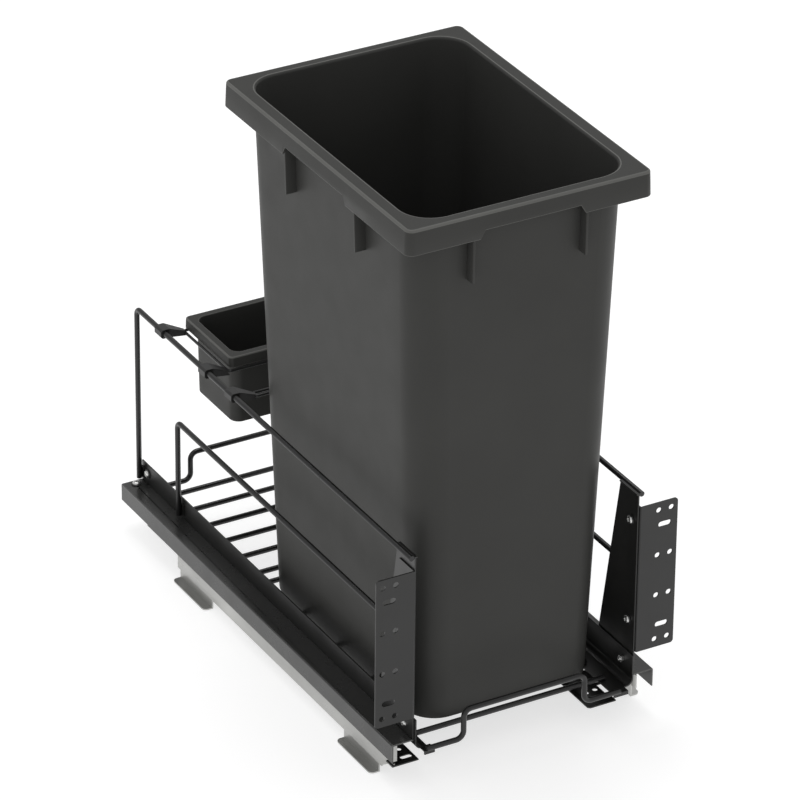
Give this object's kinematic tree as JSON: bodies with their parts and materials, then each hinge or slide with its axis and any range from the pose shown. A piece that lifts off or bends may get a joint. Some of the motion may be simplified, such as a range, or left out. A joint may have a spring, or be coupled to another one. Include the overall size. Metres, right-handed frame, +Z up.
{
  "type": "pull-out waste bin unit",
  "caption": "Base-cabinet pull-out frame on ball runners that carries a tall waste bin and a caddy bin, with brackets for the cabinet door.",
  "frame": {"origin": "middle of the unit's bounding box, at the underside of the feet", "axes": "+X to the right seen from the door, +Y towards the back of the cabinet, +Z up; the drawer opens along -Y"},
  "size_m": [0.3268, 0.572, 0.5834],
  "materials": {
    "bin_plastic": "dark grey moulded plastic, satin",
    "clip_plastic": "black moulded plastic",
    "black_wire": "black powder coat, satin",
    "black_steel": "black powder coat, satin",
    "cover_paint": "dark grey paint, satin",
    "zinc_steel": "zinc-plated sheet steel",
    "ball_steel": "hardened steel balls",
    "screw_steel": "bright zinc-plated screws",
    "black_washer": "black washers"
  },
  "bodies": {
    "base": {"left_fixed_channel": "zinc_steel", "left_front_foot": "zinc_steel", "left_front_plate": "black_steel", "left_rear_foot": "zinc_steel", "right_fixed_channel": "zinc_steel", "right_front_foot": "zinc_steel", "right_front_plate": "black_steel", "right_rear_foot": "zinc_steel"},
    "drawer": {"bag_bar": "black_wire", "bolts": "screw_steel", "caddy_ring": "black_wire", "cross_wire_01": "black_wire", "cross_wire_02": "black_wire", "cross_wire_03": "black_wire", "cross_wire_04": "black_wire", "cross_wire_05": "black_wire", "cross_wire_06": "black_wire", "cross_wire_07": "black_wire", "cross_wire_08": "black_wire", "cross_wire_09": "black_wire", "cross_wire_10": "black_wire", "cross_wire_11": "black_wire", "cross_wire_12": "black_wire", "front_stop_wire": "black_wire", "left_bar_clip": "clip_plastic", "left_door_bracket": "black_steel", "left_frame_rail": "black_steel", "left_front_clip": "clip_plastic", "left_gusset": "black_steel", "left_lower_wire": "black_wire", "left_rail_cover": "cover_paint", "left_rear_clip": "clip_plastic", "left_track": "zinc_steel", "left_upper_wire": "black_wire", "nuts": "screw_steel", "rear_screws": "screw_steel", "rear_stop_wire": "black_wire", "right_bar_clip": "clip_plastic", "right_door_bracket": "black_steel", "right_frame_rail": "black_steel", "right_front_clip": "clip_plastic", "right_gusset": "black_steel", "right_lower_wire": "black_wire", "right_rail_cover": "cover_paint", "right_rear_clip": "clip_plastic", "right_track": "zinc_steel", "right_upper_wire": "black_wire", "washers": "black_washer"},
    "left_middle": {"left_middle_member": "zinc_steel"},
    "left_lower_race": {"left_lower_cage": "zinc_steel", "left_lower_balls": "ball_steel"},
    "left_upper_race": {"left_upper_cage": "zinc_steel", "left_upper_balls": "ball_steel"},
    "right_middle": {"right_middle_member": "zinc_steel"},
    "right_lower_race": {"right_lower_cage": "zinc_steel", "right_lower_balls": "ball_steel"},
    "right_upper_race": {"right_upper_cage": "zinc_steel", "right_upper_balls": "ball_steel"},
    "tall_bin": {"large_bin": "bin_plastic"},
    "small_bin": {"caddy_bin": "bin_plastic"}
  },
  "joints": [
    {"name": "drawer_slide", "type": "slide", "parent": "base", "child": "drawer", "axis": [0, -1, 0], "range_m": [0, 0.48]},
    {"name": "left_middle_slide", "type": "slide", "parent": "base", "child": "left_middle", "axis": [0, -1, 0], "range_m": [0, 0.24]},
    {"name": "left_lower_race_slide", "type": "slide", "parent": "base", "child": "left_lower_race", "axis": [0, -1, 0], "range_m": [0, 0.12]},
    {"name": "left_upper_race_slide", "type": "slide", "parent": "base", "child": "left_upper_race", "axis": [0, -1, 0], "range_m": [0, 0.36]},
    {"name": "right_middle_slide", "type": "slide", "parent": "base", "child": "right_middle", "axis": [0, -1, 0], "range_m": [0, 0.24]},
    {"name": "right_lower_race_slide", "type": "slide", "parent": "base", "child": "right_lower_race", "axis": [0, -1, 0], "range_m": [0, 0.12]},
    {"name": "right_upper_race_slide", "type": "slide", "parent": "base", "child": "right_upper_race", "axis": [0, -1, 0], "range_m": [0, 0.36]},
    {"name": "tall_bin_lift", "type": "slide", "parent": "drawer", "child": "tall_bin", "axis": [0, 0, 1], "range_m": [0, 0.25]},
    {"name": "small_bin_lift", "type": "slide", "parent": "drawer", "child": "small_bin", "axis": [0, 0, 1], "range_m": [0, 0.1]}
  ],
  "couplings": [
    {"joint": "left_middle_slide", "follows": "drawer_slide", "ratio": 0.5},
    {"joint": "left_lower_race_slide", "follows": "drawer_slide", "ratio": 0.25},
    {"joint": "left_upper_race_slide", "follows": "drawer_slide", "ratio": 0.75},
    {"joint": "right_middle_slide", "follows": "drawer_slide", "ratio": 0.5},
    {"joint": "right_lower_race_slide", "follows": "drawer_slide", "ratio": 0.25},
    {"joint": "right_upper_race_slide", "follows": "drawer_slide", "ratio": 0.75}
  ]
}
